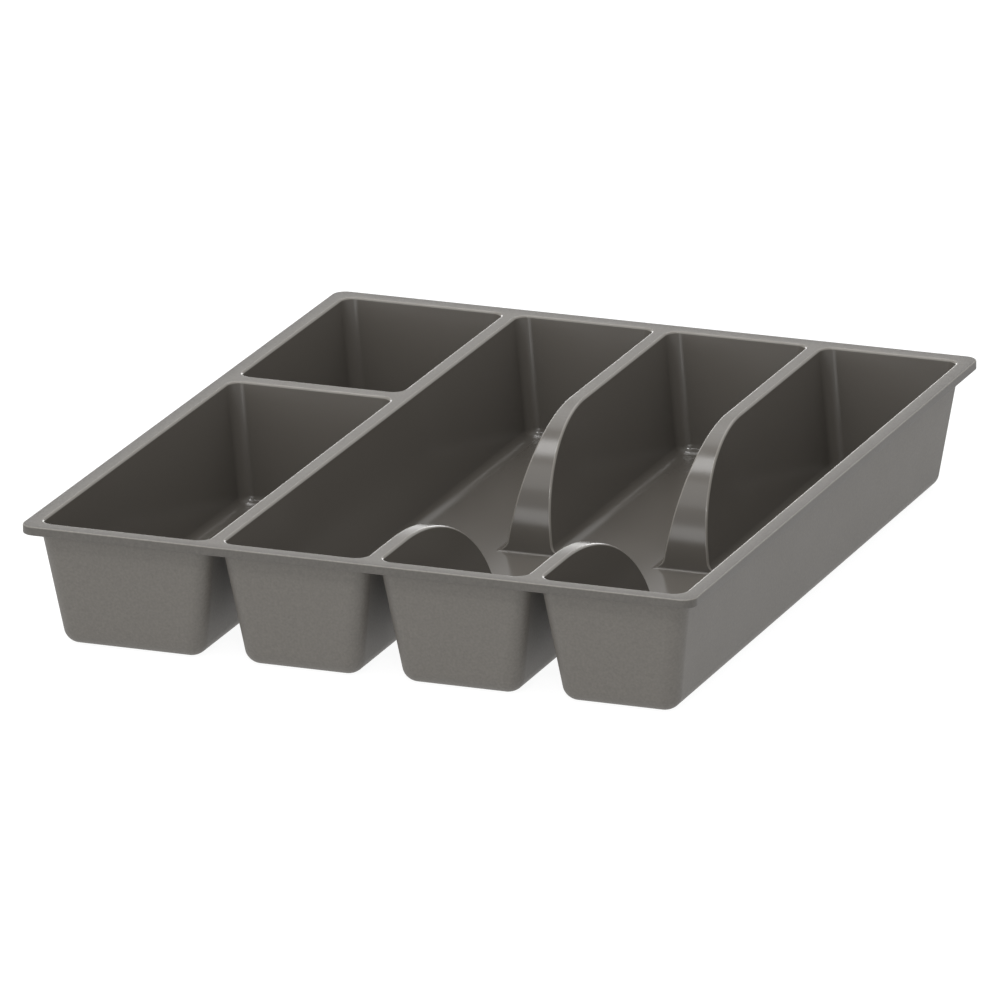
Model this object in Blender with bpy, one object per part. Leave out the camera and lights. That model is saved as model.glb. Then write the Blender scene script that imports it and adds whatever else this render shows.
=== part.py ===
"""Drawer organizer insert: one injection-moulded tray with five open pockets.

Metres, +Z up. The origin lies on the drawer floor under the middle of the rim, +X runs to
the right along the front edge and +Y runs to the back. The moulding is one sheet of even
thickness: an upper face and an underside parallel to it, which meet at the foot of the lip.
"""

import math

import bmesh
import bpy

# Outer size, wall and draft
TRAY_WIDTH = 0.260
TRAY_LENGTH = 0.310
TRAY_HEIGHT = 0.0475
WALL = 0.0016
DRAFT = math.radians(8.2)

# Rim and its turned-down lip
RIM_CORNER = 0.0053
LIP_HEIGHT = 0.0034
SIDE_RIM = 0.0060
FRONT_RIM = 0.0059
BACK_RIM = 0.0067

# Dividers: where the left edge of each top land is, and how wide the land is
DIVIDER_LAND = 0.0058
DIVIDER_EDGES = (-0.0588, 0.0023, 0.0640)
CROSS_DIVIDER_EDGE = 0.0341
CROSS_DIVIDER_LAND = 0.0067

# Pockets
POCKET_CORNER = 0.0050
FLOOR_FILLET = 0.0045

# Scoops that take two dividers down to the floor: a quarter ellipse at each end
SCOOP_FRONT = -0.123
SCOOP_FRONT_RUN = 0.0745
SCOOP_BACK = 0.058
SCOOP_BACK_RUN = 0.051

# Facets
CORNER_STEPS = 4
FILLET_STEPS = 4
SCOOP_STEPS = 14
SAME_POINT = 1e-6

SLOPE = math.tan(DRAFT)
FLOOR_HEIGHT = WALL
FILLET_HEIGHT = FLOOR_HEIGHT + FLOOR_FILLET
FILLET_INSET = SLOPE * (TRAY_HEIGHT - FILLET_HEIGHT) + FLOOR_FILLET / math.cos(DRAFT)


def clear_scene():
    for old in list(bpy.data.objects):
        bpy.data.objects.remove(old, do_unlink=True)


def grey_plastic():
    material = bpy.data.materials.new("grey_plastic")
    material.use_nodes = True
    shader = material.node_tree.nodes["Principled BSDF"]
    shader.inputs["Base Color"].default_value = (0.235, 0.225, 0.200, 1)
    shader.inputs["Roughness"].default_value = 0.5
    shader.inputs["Metallic"].default_value = 0
    return material


def levels(under):
    """Heights down a pocket wall, from the rim to the floor, on the face that lies `under` deeper."""
    heights = [TRAY_HEIGHT - under]
    for step in range(FILLET_STEPS + 1):
        angle = DRAFT + (math.pi / 2 - DRAFT) * step / FILLET_STEPS
        heights.append(FILLET_HEIGHT - (FLOOR_FILLET + under) * math.sin(angle))
    return heights


def inset_at(height, under):
    """How far a wall stands inside its pocket's top edge: straight draft, then the floor fillet."""
    radius = FLOOR_FILLET + under
    if height >= FILLET_HEIGHT - radius * math.sin(DRAFT):
        return SLOPE * (TRAY_HEIGHT - height) - under / math.cos(DRAFT)
    drop = min(FILLET_HEIGHT - height, radius)
    return FILLET_INSET - math.sqrt(radius**2 - drop**2)


def corner_radius_at(height, under):
    """The upright corners keep their radius down the wall and close into a ball at the floor."""
    radius = POCKET_CORNER + under
    start = FILLET_HEIGHT - (FLOOR_FILLET + under) * math.sin(DRAFT)
    if height >= start:
        return radius
    return max(radius - inset_at(height, under) + inset_at(start, under), SAME_POINT)


def corner_column(edge_x, edge_y, side_x, side_y, angle, under):
    column = []
    for height in levels(under):
        radius = corner_radius_at(height, under)
        back = inset_at(height, under) + radius
        x = edge_x - side_x * back + radius * math.cos(angle)
        y = edge_y - side_y * back + radius * math.sin(angle)
        column.append((x, y, height))
    return column


def side_column(edge_x, side_x, station, under):
    y, top = station
    column = []
    for height in levels(under):
        z = min(height, top)
        column.append((edge_x - side_x * inset_at(z, under), y, z))
    return column


def scoop_end(start, run, under):
    """(y, z) from the divider's top land down a quarter ellipse to the floor."""
    rise = TRAY_HEIGHT - FLOOR_HEIGHT
    stations = []
    for step in range(SCOOP_STEPS + 1):
        angle = math.pi / 2 * step / SCOOP_STEPS
        lean_y = math.sin(angle) / run
        lean_z = math.cos(angle) / rise
        shift = under / math.hypot(lean_y, lean_z)
        y = start + run * math.sin(angle) - shift * lean_y
        z = FLOOR_HEIGHT + rise * math.cos(angle) - shift * lean_z
        stations.append((y, z))
    foot_y = stations[-1][0]
    stations.append((foot_y, FLOOR_HEIGHT - under))
    return stations


def scoop_stations(under):
    """(y, z) along a scoop from front to back."""
    front = scoop_end(SCOOP_FRONT, SCOOP_FRONT_RUN, under)
    back = [(-y, z) for y, z in scoop_end(-SCOOP_BACK, SCOOP_BACK_RUN, under)]
    return front + back[::-1]


def pocket_columns(box, scoop_left, scoop_right, under):
    """Columns of points round a pocket, anticlockwise from the front of its right side."""
    left, front, right, back = box
    corners = (
        (right, front, 1, -1),
        (right, back, 1, 1),
        (left, back, -1, 1),
        (left, front, -1, -1),
    )
    stations = scoop_stations(under)
    columns = []
    sides = {}
    for number, (edge_x, edge_y, side_x, side_y) in enumerate(corners):
        for step in range(CORNER_STEPS + 1):
            angle = math.pi / 2 * (number - 1 + step / CORNER_STEPS)
            columns.append(corner_column(edge_x, edge_y, side_x, side_y, angle, under))
        if number == 0 and scoop_right:
            sides["right"] = [side_column(right, 1, station, under) for station in stations]
            columns += sides["right"]
        if number == 2 and scoop_left:
            sides["left"] = [side_column(left, -1, station, under) for station in stations]
            columns += sides["left"][::-1]
    return columns, sides


def rim_outline(inset, height):
    """The rounded rectangle of the rim, stepped in from its outer edge."""
    radius = RIM_CORNER - inset
    points = []
    for number, (side_x, side_y) in enumerate(((1, -1), (1, 1), (-1, 1), (-1, -1))):
        for step in range(CORNER_STEPS + 1):
            angle = math.pi / 2 * (number - 1 + step / CORNER_STEPS)
            x = side_x * (TRAY_WIDTH / 2 - RIM_CORNER) + radius * math.cos(angle)
            y = side_y * (TRAY_LENGTH / 2 - RIM_CORNER) + radius * math.sin(angle)
            points.append((x, y, height))
    return points


def pocket_boxes():
    """(left, front, right, back) of each pocket's top edge, and whether a scoop opens each side."""
    first = -TRAY_WIDTH / 2 + SIDE_RIM
    last = TRAY_WIDTH / 2 - SIDE_RIM
    front = -TRAY_LENGTH / 2 + FRONT_RIM
    back = TRAY_LENGTH / 2 - BACK_RIM
    cross_back = CROSS_DIVIDER_EDGE + CROSS_DIVIDER_LAND
    lefts = [edge + DIVIDER_LAND for edge in DIVIDER_EDGES]
    return (
        ((first, front, DIVIDER_EDGES[0], CROSS_DIVIDER_EDGE), False, False),
        ((first, cross_back, DIVIDER_EDGES[0], back), False, False),
        ((lefts[0], front, DIVIDER_EDGES[1], back), False, True),
        ((lefts[1], front, DIVIDER_EDGES[2], back), True, True),
        ((lefts[2], front, last, back), True, False),
    )


def add_face(bm, known, points):
    """A face through these points; points that fall together become one vertex."""
    corners = []
    for point in points:
        key = tuple(round(value / SAME_POINT) for value in point)
        if key not in known:
            known[key] = bm.verts.new(point)
        if known[key] not in corners:
            corners.append(known[key])
    if len(corners) > 2:
        bm.faces.new(corners)


def add_bands(bm, known, columns, closed):
    """Quads between each column and the next one."""
    following = columns[1:] + columns[:1] if closed else columns[1:]
    for column, neighbour in zip(columns, following):
        for row in range(len(column) - 1):
            corners = (column[row], column[row + 1], neighbour[row + 1], neighbour[row])
            add_face(bm, known, corners)


def add_skin(bm, known, under):
    """One of the tray's two parallel faces, and its side of the lip."""
    open_sides = []
    for box, scoop_left, scoop_right in pocket_boxes():
        columns, sides = pocket_columns(box, scoop_left, scoop_right, under)
        add_bands(bm, known, columns, closed=True)
        add_face(bm, known, [column[-1] for column in columns])
        open_sides.append(sides)
    for left_pocket, right_pocket in zip(open_sides, open_sides[1:]):
        if "right" in left_pocket and "left" in right_pocket:
            tops = [(a[0], b[0]) for a, b in zip(left_pocket["right"], right_pocket["left"])]
            add_bands(bm, known, tops, closed=False)
    outer = rim_outline(under, TRAY_HEIGHT - under)
    foot = rim_outline(under, TRAY_HEIGHT - LIP_HEIGHT)
    add_bands(bm, known, list(zip(outer, foot)), closed=True)
    land_height = TRAY_HEIGHT - under
    land_edges = [
        edge
        for edge in bm.edges
        if edge.is_boundary and all(abs(v.co.z - land_height) < SAME_POINT for v in edge.verts)
    ]
    bmesh.ops.triangle_fill(bm, use_beauty=True, use_dissolve=False, edges=land_edges)
    return foot


def make_tray():
    bm = bmesh.new()
    known = {}
    upper_foot = add_skin(bm, known, 0.0)
    lower_foot = add_skin(bm, known, WALL)
    add_bands(bm, known, list(zip(upper_foot, lower_foot)), closed=True)
    bmesh.ops.recalc_face_normals(bm, faces=bm.faces)
    mesh = bpy.data.meshes.new("tray")
    bm.to_mesh(mesh)
    bm.free()
    mesh.shade_smooth()
    mesh.set_sharp_from_angle(angle=math.radians(30))
    mesh.materials.append(grey_plastic())
    tray = bpy.data.objects.new("tray", mesh)
    bpy.context.scene.collection.objects.link(tray)
    return tray


clear_scene()
make_tray()
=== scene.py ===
import math

import bmesh
import bpy
from mathutils import Matrix, Vector


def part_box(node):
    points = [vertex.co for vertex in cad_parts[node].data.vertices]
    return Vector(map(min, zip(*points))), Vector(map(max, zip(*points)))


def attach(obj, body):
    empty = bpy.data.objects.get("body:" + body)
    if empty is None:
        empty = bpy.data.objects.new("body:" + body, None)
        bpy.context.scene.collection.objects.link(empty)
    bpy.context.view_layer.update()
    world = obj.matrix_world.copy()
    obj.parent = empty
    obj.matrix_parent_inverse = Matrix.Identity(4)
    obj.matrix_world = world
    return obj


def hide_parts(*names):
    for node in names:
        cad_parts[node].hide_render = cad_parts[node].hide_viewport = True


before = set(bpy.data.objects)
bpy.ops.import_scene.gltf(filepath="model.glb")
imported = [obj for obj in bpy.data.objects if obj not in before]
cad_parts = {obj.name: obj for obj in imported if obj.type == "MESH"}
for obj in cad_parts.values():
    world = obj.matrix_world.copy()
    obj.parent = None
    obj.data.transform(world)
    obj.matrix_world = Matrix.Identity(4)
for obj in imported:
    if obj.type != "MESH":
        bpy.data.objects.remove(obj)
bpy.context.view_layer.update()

# ---------------------------------------------------------------------------------------
# The plastic. The tray is moulded in one shot of warm grey polypropylene, with a matte
# grain outside and on the rim and a satin finish inside the pockets, where things slide.
# Its rounded edges get a paler grey as a painted highlight, and the lip's face gets a darker
# grey as painted shade, which fades in across the outer rim's land.
# ---------------------------------------------------------------------------------------
MM = 0.001
SATIN_GREY = (0.092, 0.084, 0.074, 1)
GRAINED_GREY = (0.101, 0.0935, 0.083, 1)
# The paler grey of the rounded edges is a painted highlight.
EDGE_HIGHLIGHT_GREY = (0.260, 0.245, 0.220, 1)
SATIN_ROUGHNESS = 0.15
GRAINED_ROUGHNESS = 0.52
PLASTIC_IOR = 1.49
CLOUD_PER_METRE = 55
CLOUD_DETAIL = 5
CLOUD_ROUGHNESS = 0.06
GRAIN_PER_METRE = 1100
GRAIN_DETAIL = 3
GRAIN_DEPTH = 0.05 * MM
GRAIN_IN_POCKETS = 0.05
GRAIN_OUTSIDE = 0.55
SPECKLE = 0.26


def grey_plastic():
    material = bpy.data.materials.new("grey_plastic")
    material.use_nodes = True
    nodes = material.node_tree.nodes
    links = material.node_tree.links
    shader = nodes["Principled BSDF"]
    shader.inputs["IOR"].default_value = PLASTIC_IOR

    where = nodes.new("ShaderNodeTexCoord")
    grained = nodes.new("ShaderNodeAttribute")
    grained.attribute_name = "grained"

    clouds = nodes.new("ShaderNodeTexNoise")
    clouds.inputs["Scale"].default_value = CLOUD_PER_METRE
    clouds.inputs["Detail"].default_value = CLOUD_DETAIL
    links.new(where.outputs["Object"], clouds.inputs["Vector"])

    grain = nodes.new("ShaderNodeTexNoise")
    grain.inputs["Scale"].default_value = GRAIN_PER_METRE
    grain.inputs["Detail"].default_value = GRAIN_DETAIL
    links.new(where.outputs["Object"], grain.inputs["Vector"])

    tint = nodes.new("ShaderNodeMix")
    tint.data_type = "RGBA"
    tint.inputs["A"].default_value = SATIN_GREY
    tint.inputs["B"].default_value = GRAINED_GREY
    links.new(grained.outputs["Fac"], tint.inputs["Factor"])

    # The rounded edges are mixed towards the paler grey: a painted highlight.
    worn = nodes.new("ShaderNodeAttribute")
    worn.attribute_name = "worn"
    highlighted = nodes.new("ShaderNodeMix")
    highlighted.data_type = "RGBA"
    highlighted.inputs["B"].default_value = EDGE_HIGHLIGHT_GREY
    links.new(worn.outputs["Fac"], highlighted.inputs["Factor"])
    links.new(tint.outputs["Result"], highlighted.inputs["A"])

    lightness = nodes.new("ShaderNodeMapRange")
    lightness.inputs["To Min"].default_value = -SPECKLE
    lightness.inputs["To Max"].default_value = SPECKLE
    links.new(grain.outputs["Fac"], lightness.inputs["Value"])
    speckle = nodes.new("ShaderNodeMath")
    speckle.operation = "MULTIPLY_ADD"
    speckle.inputs[2].default_value = 1.0
    links.new(lightness.outputs["Result"], speckle.inputs[0])
    links.new(grained.outputs["Fac"], speckle.inputs[1])

    # The lip, and the outer rim's land towards it, are darkened here: a painted shade.
    shade = nodes.new("ShaderNodeAttribute")
    shade.attribute_name = "shade"
    lit = nodes.new("ShaderNodeMath")
    lit.operation = "SUBTRACT"
    links.new(speckle.outputs["Value"], lit.inputs[0])
    links.new(shade.outputs["Fac"], lit.inputs[1])
    speckled = nodes.new("ShaderNodeVectorMath")
    speckled.operation = "SCALE"
    links.new(highlighted.outputs["Result"], speckled.inputs[0])
    links.new(lit.outputs["Value"], speckled.inputs["Scale"])
    links.new(speckled.outputs["Vector"], shader.inputs["Base Color"])

    wall_roughness = nodes.new("ShaderNodeMapRange")
    wall_roughness.inputs["To Min"].default_value = SATIN_ROUGHNESS
    wall_roughness.inputs["To Max"].default_value = GRAINED_ROUGHNESS
    links.new(grained.outputs["Fac"], wall_roughness.inputs["Value"])
    patchy = nodes.new("ShaderNodeMath")
    patchy.operation = "MULTIPLY_ADD"
    patchy.inputs[1].default_value = CLOUD_ROUGHNESS
    links.new(clouds.outputs["Fac"], patchy.inputs[0])
    links.new(wall_roughness.outputs["Result"], patchy.inputs[2])
    links.new(patchy.outputs["Value"], shader.inputs["Roughness"])

    depth = nodes.new("ShaderNodeMapRange")
    depth.inputs["To Min"].default_value = GRAIN_IN_POCKETS
    depth.inputs["To Max"].default_value = GRAIN_OUTSIDE
    links.new(grained.outputs["Fac"], depth.inputs["Value"])
    bump = nodes.new("ShaderNodeBump")
    bump.inputs["Distance"].default_value = GRAIN_DEPTH
    links.new(grain.outputs["Fac"], bump.inputs["Height"])
    links.new(depth.outputs["Result"], bump.inputs["Strength"])
    links.new(bump.outputs["Normal"], shader.inputs["Normal"])
    return material


plastic = grey_plastic()

# ---------------------------------------------------------------------------------------
# The pockets and dividers. Five drafted pockets hang from the rim like the cells of one
# pressed sheet, and each divider is the fold between two of them. The net gives the
# sheet's points and faces, and the node tree presses it to the mould's section.
# ---------------------------------------------------------------------------------------
tray_low, tray_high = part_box("tray")
RIM_HEIGHT = tray_high.z
WALL = 1.6 * MM
DRAFT = math.radians(8.2)
POCKET_CORNER = 5.0 * MM
FLOOR_FILLET = 4.5 * MM
EDGE_ROUND = 0.85 * MM
FOOT_ROUND = 0.8 * MM
# How much the rounded top edges are painted paler, as a highlight.
EDGE_HIGHLIGHT = 0.5
EDGE_SHARE_OF_HEIGHT = 0.35
GRAIN_FADE = 3.5

SIDE_RIM = 6.0 * MM
FRONT_RIM = 5.9 * MM
BACK_RIM = 6.7 * MM
DIVIDER_LAND = 5.8 * MM
DIVIDER_EDGES = (-58.8 * MM, 2.3 * MM, 64.0 * MM)
CROSS_DIVIDER_EDGE = 34.1 * MM
CROSS_DIVIDER_LAND = 6.7 * MM

SCOOP_FRONT = -123.0 * MM
SCOOP_FRONT_RUN = 74.5 * MM
SCOOP_BACK = 58.0 * MM
SCOOP_BACK_RUN = 51.0 * MM

CORNER_STEPS = 12
FILLET_STEPS = 10
EDGE_STEPS = 6
SCOOP_STEPS = 56
FOOT_STEPS = 5


def wall_levels(under):
    """Heights from the end of the rounded top edge down to the floor, on the face `under` deeper."""
    start = FLOOR_FILLET + WALL
    heights = []
    for step in range(FILLET_STEPS + 1):
        angle = DRAFT + (math.pi / 2 - DRAFT) * step / FILLET_STEPS
        heights.append(start - (FLOOR_FILLET + under) * math.sin(angle))
    return heights


def column_rows(top, lean, round_off, under):
    """(height, outward step, shift along Y) down one column, first over the rounded edge."""
    rows = []
    for step in range(EDGE_STEPS + 1):
        angle = math.pi / 2 * step / EDGE_STEPS
        drop = round_off * (1 - math.cos(angle))
        out = round_off * (1 - math.sin(angle))
        rows.append((top - drop * lean[1], out, -drop * lean[0]))
    edge_end, _, shift = rows[-1]
    for height in wall_levels(under):
        rows.append((min(height, edge_end), 0.0, shift))
    return rows


def scoop_stations(start, run, under):
    """(y, top, lean, distance run) down a quarter ellipse from the divider's land to the floor."""
    rise = RIM_HEIGHT - WALL
    foot = FOOT_ROUND - under
    last = math.acos(max(foot, 0.0) / rise)
    stations = []
    for step in range(SCOOP_STEPS + 1):
        angle = last * step / SCOOP_STEPS
        slope = Vector((math.sin(angle) / run, math.cos(angle) / rise)).normalized()
        y = start + run * math.sin(angle) - under * slope.x
        z = WALL + rise * math.cos(angle) - under * slope.y
        stations.append((y, z, slope, angle / last))
    foot_y = stations[-1][0]
    floor = WALL - under
    for step in range(1, FOOT_STEPS + 1):
        angle = math.pi / 2 * step / FOOT_STEPS
        y = foot_y + max(foot, 0.0) * (1 - math.cos(angle))
        z = floor + max(foot, 0.0) * (1 - math.sin(angle))
        slope = Vector((math.cos(angle), math.sin(angle)))
        stations.append((y, z, slope, 1.0))
    return stations


def both_scoop_ends(under):
    """Stations along a scooped divider from its front end, down, across and up to its back end."""
    front = scoop_stations(SCOOP_FRONT, SCOOP_FRONT_RUN, under)
    back = scoop_stations(-SCOOP_BACK, SCOOP_BACK_RUN, under)
    mirrored = [(-y, z, Vector((-lean.x, lean.y)), along) for y, z, lean, along in back]
    return front + mirrored[::-1]


FACTS = ("edge", "side", "around", "height", "out", "under", "grained", "worn")


class Net:
    """The sheet before pressing: its points, each with what the tree needs, and its faces."""

    def __init__(self):
        self.facts = {name: [] for name in FACTS}
        self.faces = []

    def column(self, edge, side, around, rows, under, grain, highlight):
        """Points down one wall: grained at its land, painted paler over its edge as a highlight, or all
        grained beneath.
        """
        made = []
        for row, (height, out, shift) in enumerate(rows):
            made.append(len(self.facts["height"]))
            self.facts["edge"].append((edge[0], edge[1] + shift, 0.0))
            self.facts["side"].append((side[0], side[1], 0.0))
            self.facts["around"].append((around[0], around[1], 0.0))
            self.facts["height"].append(height)
            self.facts["out"].append(out)
            self.facts["under"].append(under)
            self.facts["grained"].append(1.0 if under else grain if row == 0 else 0.0)
            self.facts["worn"].append(0.0 if under else highlight * (0 < row < EDGE_STEPS))
        return made

    def bands(self, columns, closed):
        """Faces between each column and the next, and back to the first if closed."""
        following = columns[1:] + columns[:1] if closed else columns[1:]
        for column, neighbour in zip(columns, following):
            for row in range(len(column) - 1):
                self.faces.append((column[row], column[row + 1], neighbour[row + 1], neighbour[row]))

    def pocket(self, box, scoop_left, scoop_right, under):
        """One pocket's walls and floor. It returns the columns of each scooped side."""
        left, front, right, back = box
        corners = ((right, front, 1, -1), (right, back, 1, 1), (left, back, -1, 1), (left, front, -1, -1))
        upright = Vector((0.0, 1.0))
        edge_round = 0.0 if under else EDGE_ROUND
        columns = []
        open_sides = {}
        for number, (edge_x, edge_y, side_x, side_y) in enumerate(corners):
            for step in range(CORNER_STEPS + 1):
                angle = math.pi / 2 * (number - 1 + step / CORNER_STEPS)
                around = (math.cos(angle), math.sin(angle))
                rows = column_rows(RIM_HEIGHT - under, upright, edge_round, under)
                columns.append(
                    self.column((edge_x, edge_y), (side_x, side_y), around, rows, under, 1.0, EDGE_HIGHLIGHT)
                )
            if (number == 0 and scoop_right) or (number == 2 and scoop_left):
                side = []
                for y, top, lean, along in both_scoop_ends(under):
                    above = max(top - WALL, 0.0)
                    round_off = min(edge_round, EDGE_SHARE_OF_HEIGHT * above)
                    rows = column_rows(top, lean, round_off, under)
                    grain = max(0.0, 1 - GRAIN_FADE * along)
                    # The painted highlight fades out where the edge's rounding shrinks.
                    highlight = EDGE_HIGHLIGHT * round_off / EDGE_ROUND
                    side.append(
                        self.column((edge_x, y), (side_x, 0), (side_x, 0), rows, under, grain, highlight)
                    )
                open_sides[side_x] = side
                columns += side if number == 0 else side[::-1]
        self.bands(columns, closed=True)
        self.faces.append(tuple(column[-1] for column in columns))
        return open_sides


first_edge = tray_low.x + SIDE_RIM
last_edge = tray_high.x - SIDE_RIM
front_edge = tray_low.y + FRONT_RIM
back_edge = tray_high.y - BACK_RIM
land_rights = [edge + DIVIDER_LAND for edge in DIVIDER_EDGES]
pockets = (
    ((first_edge, front_edge, DIVIDER_EDGES[0], CROSS_DIVIDER_EDGE), False, False),
    ((first_edge, CROSS_DIVIDER_EDGE + CROSS_DIVIDER_LAND, DIVIDER_EDGES[0], back_edge), False, False),
    ((land_rights[0], front_edge, DIVIDER_EDGES[1], back_edge), False, True),
    ((land_rights[1], front_edge, DIVIDER_EDGES[2], back_edge), True, True),
    ((land_rights[2], front_edge, last_edge, back_edge), True, False),
)

net = Net()
for skin_depth in (0.0, WALL):
    open_sides = [net.pocket(*pocket, skin_depth) for pocket in pockets]
    for left_pocket, right_pocket in zip(open_sides, open_sides[1:]):
        if 1 in left_pocket and -1 in right_pocket:
            tops = [(a[0], b[0]) for a, b in zip(left_pocket[1], right_pocket[-1])]
            net.bands(tops, closed=False)

sheet_mesh = bpy.data.meshes.new("tray_moulding")
sheet_mesh.from_pydata(net.facts["edge"], [], net.faces)
for name, values in net.facts.items():
    is_vector = name in ("edge", "side", "around")
    kind, slot_name = ("FLOAT_VECTOR", "vector") if is_vector else ("FLOAT", "value")
    layer = sheet_mesh.attributes.new(name, kind, "POINT")
    flat = [number for value in values for number in value] if is_vector else values
    layer.data.foreach_set(slot_name, flat)
tray = bpy.data.objects.new("tray_moulding", sheet_mesh)
bpy.context.scene.collection.objects.link(tray)

# ---------------------------------------------------------------------------------------
# The rim lip. The rim's outer edge turns straight down into a short lip that stiffens the
# sheet, with the same section all the way round. The node tree here presses the net into
# pockets and sweeps the lip in one pass.
# ---------------------------------------------------------------------------------------
LIP_HEIGHT = 3.4 * MM
RIM_CORNER = 5.3 * MM
LIP_EDGE = 0.5 * MM
LIP_GRAIN = 0.8
# How much the lip's rounded top edge is painted paler, as a highlight.
LIP_HIGHLIGHT = 0.8
# How much the whole lip is painted darker, as shade.
LIP_PAINTED_SHADE = 0.28
LIP_FOOT = 0.3 * MM
LIP_ARC_STEPS = 4
LIP_TOP_MARGIN = 0.02 * MM
LIP_HIGHLIGHT_SHARE = 0.95
SMALLEST_CORNER = 0.002 * MM


def lip_section():
    """(outwards from the rim's edge, below the rim) over the top edge, down, round and up inside."""
    arcs = (
        (-LIP_EDGE, -LIP_EDGE, LIP_EDGE, math.pi / 2, 0.0),
        (-LIP_FOOT, LIP_FOOT - LIP_HEIGHT, LIP_FOOT, 0.0, -math.pi / 2),
        (LIP_FOOT - WALL, LIP_FOOT - LIP_HEIGHT, LIP_FOOT, -math.pi / 2, -math.pi),
    )
    points = []
    for centre_x, centre_y, radius, start, end in arcs:
        for step in range(LIP_ARC_STEPS + 1):
            angle = start + (end - start) * step / LIP_ARC_STEPS
            height = centre_y + radius * math.sin(angle)
            points.append((centre_x + radius * math.cos(angle), -height))
    points.append((-WALL, WALL))
    return points


section_curve = bpy.data.curves.new("lip_section", "CURVE")
section_spline = section_curve.splines.new("POLY")
section_points = lip_section()
section_spline.points.add(len(section_points) - 1)
for point, (outward, below) in zip(section_spline.points, section_points):
    point.co = (outward, below, 0.0, 1.0)
section = bpy.data.objects.new("lip_section", section_curve)
bpy.context.scene.collection.objects.link(section)


class Press:
    """The node tree that presses the net into pockets and sweeps the lip round the rim."""

    def __init__(self):
        self.tree = bpy.data.node_groups.new("press_tray", "GeometryNodeTree")
        self.tree.is_modifier = True
        socket = self.tree.interface.new_socket
        socket("Geometry", in_out="OUTPUT", socket_type="NodeSocketGeometry")
        socket("Geometry", in_out="INPUT", socket_type="NodeSocketGeometry")
        self.settings = {}

    def setting(self, name, value, kind="NodeSocketFloat"):
        item = self.tree.interface.new_socket(name, in_out="INPUT", socket_type=kind)
        self.settings[item.identifier] = value

    def node(self, kind, **inputs):
        made = self.tree.nodes.new(kind)
        for name, value in inputs.items():
            self.feed(made.inputs[name.replace("_", " ")], value)
        return made

    def feed(self, socket, value):
        if isinstance(value, bpy.types.NodeSocket):
            self.tree.links.new(value, socket)
        else:
            socket.default_value = value

    def maths(self, operation, *values):
        made = self.tree.nodes.new("ShaderNodeMath")
        made.operation = operation
        for socket, value in zip(made.inputs, values):
            self.feed(socket, value)
        return made.outputs["Value"]

    def vectors(self, operation, *values):
        made = self.tree.nodes.new("ShaderNodeVectorMath")
        made.operation = operation
        slots = (made.inputs[0], made.inputs["Scale"]) if operation == "SCALE" else made.inputs
        for socket, value in zip(slots, values):
            self.feed(socket, value)
        return made.outputs["Vector"]

    def fact(self, name, data_type="FLOAT"):
        made = self.tree.nodes.new("GeometryNodeInputNamedAttribute")
        made.data_type = data_type
        made.inputs["Name"].default_value = name
        return made.outputs["Attribute"]


press = Press()
for setting_name, setting_value in (
    ("Rim height", RIM_HEIGHT),
    ("Floor thickness", WALL),
    ("Draft", DRAFT),
    ("Floor fillet", FLOOR_FILLET),
    ("Pocket corner", POCKET_CORNER),
    ("Rim width", tray_high.x - tray_low.x),
    ("Rim length", tray_high.y - tray_low.y),
    ("Rim corner", RIM_CORNER),
    ("Lip edge", LIP_EDGE),
    ("Lip grain", LIP_GRAIN),
    ("Lip highlight", LIP_HIGHLIGHT),
    ("Lip painted shade", LIP_PAINTED_SHADE),
):
    press.setting(setting_name, setting_value)
press.setting("Lip section", section, "NodeSocketObject")
press.setting("Plastic", plastic, "NodeSocketMaterial")
given = press.tree.nodes.new("NodeGroupInput").outputs

height = press.fact("height")
under = press.fact("under")
tangent = press.maths("TANGENT", given["Draft"])
cosine = press.maths("COSINE", given["Draft"])
sine = press.maths("SINE", given["Draft"])

fillet_radius = press.maths("ADD", given["Floor fillet"], under)
fillet_height = press.maths("ADD", given["Floor thickness"], given["Floor fillet"])
above_fillet = press.maths("SUBTRACT", given["Rim height"], fillet_height)
fillet_across = press.maths("DIVIDE", given["Floor fillet"], cosine)
fillet_inset = press.maths("MULTIPLY_ADD", tangent, above_fillet, fillet_across)
fillet_start = press.maths(
    "SUBTRACT", fillet_height, press.maths("MULTIPLY", fillet_radius, sine)
)

below_rim = press.maths("SUBTRACT", given["Rim height"], height)
wall_across = press.maths("DIVIDE", under, cosine)
straight = press.maths("SUBTRACT", press.maths("MULTIPLY", tangent, below_rim), wall_across)
start_below_rim = press.maths("SUBTRACT", given["Rim height"], fillet_start)
straight_end = press.maths(
    "SUBTRACT", press.maths("MULTIPLY", tangent, start_below_rim), wall_across
)

drop = press.maths("MINIMUM", press.maths("SUBTRACT", fillet_height, height), fillet_radius)
chord = press.maths(
    "SQRT",
    press.maths(
        "SUBTRACT",
        press.maths("MULTIPLY", fillet_radius, fillet_radius),
        press.maths("MULTIPLY", drop, drop),
    ),
)
rounded = press.maths("SUBTRACT", fillet_inset, chord)
on_wall = press.maths("GREATER_THAN", height, fillet_start)
choose = press.tree.nodes.new("GeometryNodeSwitch")
choose.input_type = "FLOAT"
press.feed(choose.inputs["Switch"], on_wall)
press.feed(choose.inputs["False"], rounded)
press.feed(choose.inputs["True"], straight)
inset = choose.outputs["Output"]

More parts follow.
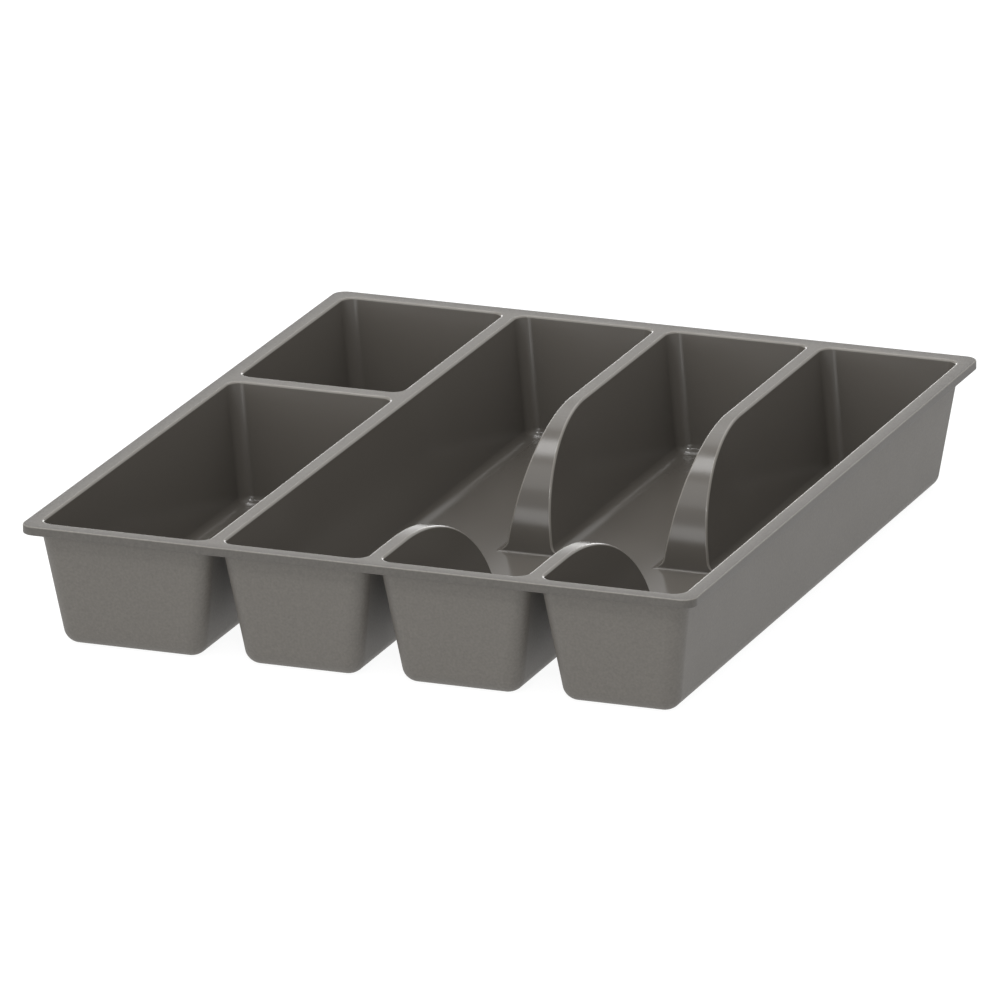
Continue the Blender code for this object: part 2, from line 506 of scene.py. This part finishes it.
into_fillet = press.maths("MAXIMUM", press.maths("SUBTRACT", inset, straight_end), 0.0)
upright_corner = press.maths("ADD", given["Pocket corner"], under)
corner_radius = press.maths(
    "MAXIMUM", press.maths("SUBTRACT", upright_corner, into_fillet), SMALLEST_CORNER
)
to_centre = press.maths("ADD", inset, corner_radius)
from_centre = press.maths("ADD", corner_radius, press.fact("out"))
centre = press.vectors(
    "SUBTRACT",
    press.fact("edge", "FLOAT_VECTOR"),
    press.vectors("SCALE", press.fact("side", "FLOAT_VECTOR"), to_centre),
)
on_plan = press.vectors(
    "ADD", centre, press.vectors("SCALE", press.fact("around", "FLOAT_VECTOR"), from_centre)
)
lift = press.node("ShaderNodeCombineXYZ", Z=height).outputs["Vector"]
pressed = press.node(
    "GeometryNodeSetPosition",
    Geometry=given["Geometry"],
    Position=press.vectors("ADD", on_plan, lift),
)

path = press.node(
    "GeometryNodeCurvePrimitiveQuadrilateral", Width=given["Rim width"], Height=given["Rim length"]
)
rounded_path = press.tree.nodes.new("GeometryNodeFilletCurve")
rounded_path.mode = "POLY"
press.feed(rounded_path.inputs["Curve"], path.outputs["Curve"])
press.feed(rounded_path.inputs["Radius"], given["Rim corner"])
press.feed(rounded_path.inputs["Count"], CORNER_STEPS - 1)
section_info = press.node("GeometryNodeObjectInfo", Object=given["Lip section"])
swept = press.node(
    "GeometryNodeCurveToMesh",
    Curve=rounded_path.outputs["Curve"],
    Profile_Curve=section_info.outputs["Geometry"],
)
raised = press.node("ShaderNodeCombineXYZ", Z=given["Rim height"]).outputs["Vector"]
lip = press.node("GeometryNodeTransform", Geometry=swept.outputs["Mesh"], Translation=raised)

position = press.node("GeometryNodeInputPosition").outputs["Position"]
along_z = press.node("ShaderNodeSeparateXYZ", Vector=position)
below_top = press.maths("SUBTRACT", given["Rim height"], along_z.outputs["Z"])
past_top = press.maths("GREATER_THAN", below_top, LIP_TOP_MARGIN)
highlight_end = press.maths("MULTIPLY", given["Lip edge"], LIP_HIGHLIGHT_SHARE)
above_face = press.maths("LESS_THAN", below_top, highlight_end)
on_edge = press.maths("MULTIPLY", past_top, above_face)
smoother = press.maths("SUBTRACT", 1.0, given["Lip grain"])
lip_grain = press.node(
    "GeometryNodeStoreNamedAttribute",
    Geometry=lip.outputs["Geometry"],
    Name="grained",
    Value=press.maths("SUBTRACT", 1.0, press.maths("MULTIPLY", past_top, smoother)),
)
# Painted highlight: the lip's rounded top edge is stored as paler.
lip_highlight = press.node(
    "GeometryNodeStoreNamedAttribute",
    Geometry=lip_grain.outputs["Geometry"],
    Name="worn",
    Value=press.maths("MULTIPLY", on_edge, given["Lip highlight"]),
)
# Painted shade: the whole lip is stored as darker, and the outer rim's land fades into it.
lip_painted_shade = press.node(
    "GeometryNodeStoreNamedAttribute",
    Geometry=lip_highlight.outputs["Geometry"],
    Name="shade",
    Value=given["Lip painted shade"],
)

together = press.tree.nodes.new("GeometryNodeJoinGeometry")
press.tree.links.new(pressed.outputs["Geometry"], together.inputs["Geometry"])
press.tree.links.new(lip_painted_shade.outputs["Geometry"], together.inputs["Geometry"])
real = press.node("GeometryNodeRealizeInstances", Geometry=together.outputs["Geometry"])
coloured = press.node(
    "GeometryNodeSetMaterial", Geometry=real.outputs["Geometry"], Material=given["Plastic"]
)
result = press.tree.nodes.new("NodeGroupOutput")
press.tree.links.new(coloured.outputs["Geometry"], result.inputs["Geometry"])

pressing = tray.modifiers.new("press", "NODES")
pressing.node_group = press.tree
for identifier, value in press.settings.items():
    pressing[identifier] = value
evaluated = tray.evaluated_get(bpy.context.evaluated_depsgraph_get())
pressed_mesh = bpy.data.meshes.new_from_object(evaluated)
tray.modifiers.remove(pressing)
tray.data = pressed_mesh
bpy.data.objects.remove(section, do_unlink=True)

# ---------------------------------------------------------------------------------------
# The rim lands. The flat top of the rim and of the dividers, and the flat underside
# beneath it, close the sheet between the pockets and the lip, so that the tray is one
# watertight moulding. The face normals are weighted so that flat plastic looks flat.
# ---------------------------------------------------------------------------------------
SAME_POINT = 1e-6
CREASE = math.radians(38)

moulding = bmesh.new()
moulding.from_mesh(tray.data)
bmesh.ops.remove_doubles(moulding, verts=moulding.verts, dist=SAME_POINT)
for land_height in (RIM_HEIGHT, RIM_HEIGHT - WALL):
    open_edges = [
        edge
        for edge in moulding.edges
        if edge.is_boundary and all(abs(end.co.z - land_height) < SAME_POINT for end in edge.verts)
    ]
    bmesh.ops.triangle_fill(moulding, use_beauty=True, use_dissolve=False, edges=open_edges)
loose_edges = [edge for edge in moulding.edges if edge.is_wire]
bmesh.ops.delete(moulding, geom=loose_edges, context="EDGES")
bmesh.ops.recalc_face_normals(moulding, faces=moulding.faces)
moulding.to_mesh(tray.data)
moulding.free()
for fact in ("edge", "side", "around", "height", "out", "under"):
    tray.data.attributes.remove(tray.data.attributes[fact])
tray.data.shade_smooth()
tray.data.set_sharp_from_angle(angle=CREASE)
even_shading = tray.modifiers.new("even_shading", "WEIGHTED_NORMAL")
even_shading.keep_sharp = True
tray.data = bpy.data.meshes.new_from_object(
    tray.evaluated_get(bpy.context.evaluated_depsgraph_get())
)
tray.modifiers.remove(even_shading)
tray.data.name = "tray_moulding"
tray.data.materials.clear()
tray.data.materials.append(plastic)
for face in tray.data.polygons:
    face.material_index = 0

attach(tray, "root")
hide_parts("tray")

# ---------------------------------------------------------------------------------------
# The studio. A wide pale floor that glows softly, an even pale surround, and six soft
# boxes: one overhead, a small bright key in front, and four wide dim ones behind and in
# front. The camera looks down on the front right corner of the tray through a long lens.
# ---------------------------------------------------------------------------------------
FLOOR_SIZE = 24.0
FLOOR_GREY = (0.16, 0.16, 0.16, 1)
FLOOR_ROUGHNESS = 0.9
FLOOR_GLOW = 0.93
GLOW_WHITE = (1.0, 1.0, 1.0, 1)
SURROUND_WHITE = (1.0, 1.0, 1.0, 1)
SURROUND_STRENGTH = 0.66

bpy.ops.mesh.primitive_plane_add(size=FLOOR_SIZE)
floor = bpy.context.object
floor.name = "studio_floor"
floor_paint = bpy.data.materials.new("studio_floor")
floor_paint.use_nodes = True
floor_shader = floor_paint.node_tree.nodes["Principled BSDF"]
floor_shader.inputs["Base Color"].default_value = FLOOR_GREY
floor_shader.inputs["Roughness"].default_value = FLOOR_ROUGHNESS
floor_shader.inputs["Specular IOR Level"].default_value = 0.0
floor_shader.inputs["Emission Color"].default_value = GLOW_WHITE
floor_shader.inputs["Emission Strength"].default_value = FLOOR_GLOW
floor.data.materials.append(floor_paint)

surround = bpy.data.worlds.new("studio_surround")
surround.use_nodes = True
surround.node_tree.nodes["Background"].inputs["Color"].default_value = SURROUND_WHITE
surround.node_tree.nodes["Background"].inputs["Strength"].default_value = SURROUND_STRENGTH
bpy.context.scene.world = surround


def softbox(name, azimuth, elevation, distance, width, height, brightness):
    """A light seen from the tray at this azimuth (0 is in front, 90 on the right) and elevation."""
    out = math.cos(math.radians(elevation)) * distance
    place = Vector((
        out * math.sin(math.radians(azimuth)),
        -out * math.cos(math.radians(azimuth)),
        math.sin(math.radians(elevation)) * distance,
    ))
    light = bpy.data.lights.new(name, "AREA")
    light.shape = "RECTANGLE"
    light.size = width
    light.size_y = height
    light.energy = brightness * math.pi * width * height
    box = bpy.data.objects.new(name, light)
    box.location = place
    box.rotation_euler = (-place).to_track_quat("-Z", "Y").to_euler()
    bpy.context.scene.collection.objects.link(box)


softbox(
    "overhead_softbox",
    azimuth=270,
    elevation=80,
    distance=2.4,
    width=0.62,
    height=2.4,
    brightness=5.9,
)
softbox("key_softbox", azimuth=15, elevation=48, distance=3.0, width=0.45, height=0.25, brightness=36.0)
softbox("back_softbox", azimuth=180, elevation=52, distance=3.0, width=3.4, height=1.9, brightness=1.4)
softbox("rim_softbox", azimuth=201, elevation=8, distance=3.4, width=3.2, height=0.5, brightness=4.2)
softbox("high_softbox", azimuth=335, elevation=55, distance=3.0, width=2.6, height=1.2, brightness=1.2)
softbox(
    "front_softbox",
    azimuth=345,
    elevation=14.5,
    distance=3.2,
    width=3.4,
    height=1.3,
    brightness=2.3,
)

CAMERA_AZIMUTH = math.radians(21.345)
CAMERA_ELEVATION = math.radians(17.826)
CAMERA_ROLL = math.radians(-0.533)
CAMERA_DISTANCE = 4.890
CAMERA_LENS_MM = 477.9
CAMERA_SENSOR_MM = 36
CAMERA_NEAREST = 0.1
CAMERA_FURTHEST = 60
AIM_LEFT = 3.06 * MM
AIM_BELOW = 22.19 * MM

back = Vector((
    math.sin(CAMERA_AZIMUTH) * math.cos(CAMERA_ELEVATION),
    -math.cos(CAMERA_AZIMUTH) * math.cos(CAMERA_ELEVATION),
    math.sin(CAMERA_ELEVATION),
))
level = (-back).cross(Vector((0, 0, 1))).normalized()
upward = level.cross(-back)
camera_right = math.cos(CAMERA_ROLL) * level + math.sin(CAMERA_ROLL) * upward
camera_up = -math.sin(CAMERA_ROLL) * level + math.cos(CAMERA_ROLL) * upward
aim = Vector((0, 0, RIM_HEIGHT)) - AIM_LEFT * camera_right - AIM_BELOW * camera_up

lens = bpy.data.cameras.new("camera")
lens.sensor_width = CAMERA_SENSOR_MM
lens.lens = CAMERA_LENS_MM
lens.clip_start = CAMERA_NEAREST
lens.clip_end = CAMERA_FURTHEST
camera = bpy.data.objects.new("camera", lens)
turned = Matrix((camera_right, camera_up, back)).transposed()
camera.matrix_world = Matrix.Translation(aim + CAMERA_DISTANCE * back) @ turned.to_4x4()
bpy.context.scene.collection.objects.link(camera)
bpy.context.scene.camera = camera
bpy.context.scene.view_settings.view_transform = "Standard"
